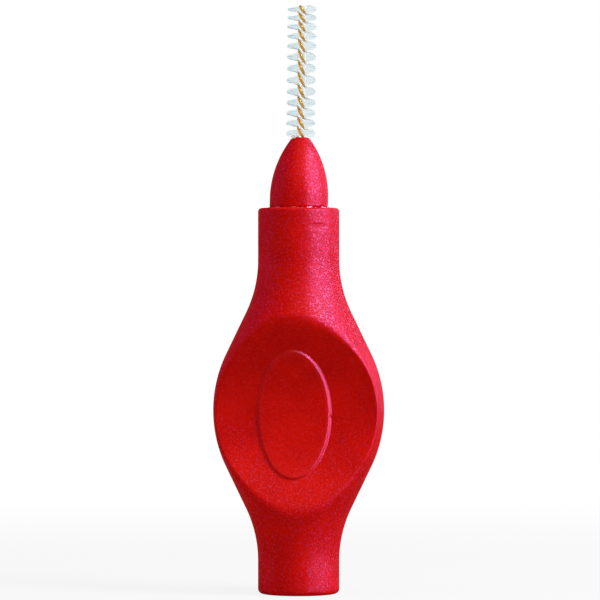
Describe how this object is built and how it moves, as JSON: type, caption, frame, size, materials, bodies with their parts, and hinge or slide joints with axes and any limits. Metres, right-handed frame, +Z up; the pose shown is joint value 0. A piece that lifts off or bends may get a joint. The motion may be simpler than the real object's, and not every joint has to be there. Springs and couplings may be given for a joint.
{
  "type": "interdental brush",
  "caption": "Interdental brush with a soft waisted grip, thumb dishes, a stiff bullet nose and a bendable twisted wire that holds a spiral of fine clear filaments.",
  "frame": {"origin": "centre of the flat tail face, which the brush can stand on", "axes": "+Z up the brush axis from the tail to the wire's end, +X to the right across the grip's width, and the front thumb dish faces -Y"},
  "size_m": [0.0142, 0.009, 0.049],
  "materials": {
    "grip_soft": "matt, fine grain",
    "nose_plastic": "satin",
    "wire_gold": "bright coated wire",
    "filament_clear": "clear nylon"
  },
  "bodies": {
    "grip": {"grip_handle": "grip_soft"},
    "nose": {"nose_core": "nose_plastic", "wire_anchor": "wire_gold"},
    "brush": {"wire_stem": "wire_gold", "filament_tuft_01": "filament_clear", "filament_tuft_02": "filament_clear", "filament_tuft_03": "filament_clear", "filament_tuft_04": "filament_clear", "filament_tuft_05": "filament_clear", "filament_tuft_06": "filament_clear", "filament_tuft_07": "filament_clear", "filament_tuft_08": "filament_clear", "filament_tuft_09": "filament_clear", "filament_tuft_10": "filament_clear", "filament_tuft_11": "filament_clear", "filament_tuft_12": "filament_clear", "filament_tuft_13": "filament_clear"}
  },
  "joints": [
    {"name": "neck_flex", "type": "hinge", "parent": "grip", "child": "nose", "pos_m": [0, 0, 0.0255], "axis": [1, 0, 0], "range_deg": [-20, 20], "stiffness_Nm_per_rad": 0.3, "deforming": ["grip_handle"]},
    {"name": "wire_bend", "type": "hinge", "parent": "nose", "child": "brush", "pos_m": [0, 0, 0.03806], "axis": [1, 0, 0], "range_deg": [-45, 45]}
  ]
}
